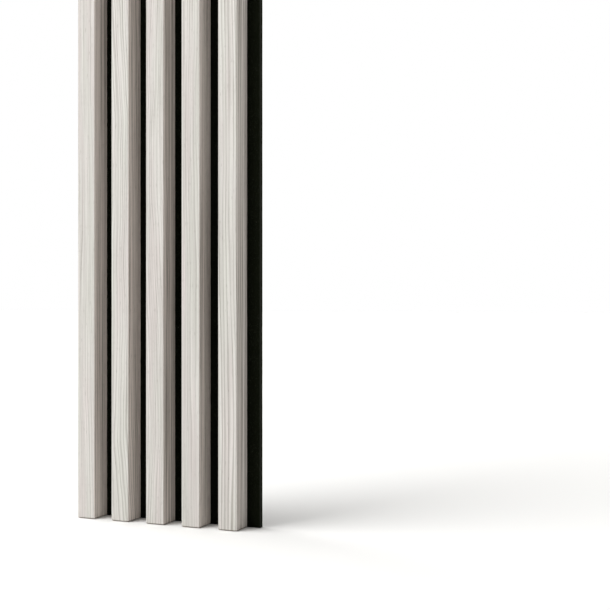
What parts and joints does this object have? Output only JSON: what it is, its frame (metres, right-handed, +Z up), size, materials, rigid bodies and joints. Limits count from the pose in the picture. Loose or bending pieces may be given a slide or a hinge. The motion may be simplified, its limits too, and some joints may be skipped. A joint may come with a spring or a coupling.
{
  "type": "acoustic slat wall panel",
  "caption": "Tall narrow wall panel of upright veneered wood slats, evenly spaced on a thin sheet of black felt that absorbs sound.",
  "frame": {"origin": "foot of the back face, halfway across the panel, where the wall meets the floor", "axes": "+Z up along the slats, +X across the panel to the right as seen from the front, +Y out of the back towards the wall, so the slat fronts face -Y"},
  "size_m": [0.2, 0.0284, 2.4],
  "materials": {
    "pale_veneer": "matt",
    "fibreboard": "sawn",
    "black_felt": "needled",
    "staple_wire": "zinc plated"
  },
  "bodies": {
    "root": {"felt_backing": "black_felt", "slat_core_1": "fibreboard", "slat_core_2": "fibreboard", "slat_core_3": "fibreboard", "slat_core_4": "fibreboard", "slat_core_5": "fibreboard", "slat_veneer_1": "pale_veneer", "slat_veneer_2": "pale_veneer", "slat_veneer_3": "pale_veneer", "slat_veneer_4": "pale_veneer", "slat_veneer_5": "pale_veneer", "backing_staples": "staple_wire"}
  },
  "joints": []
}
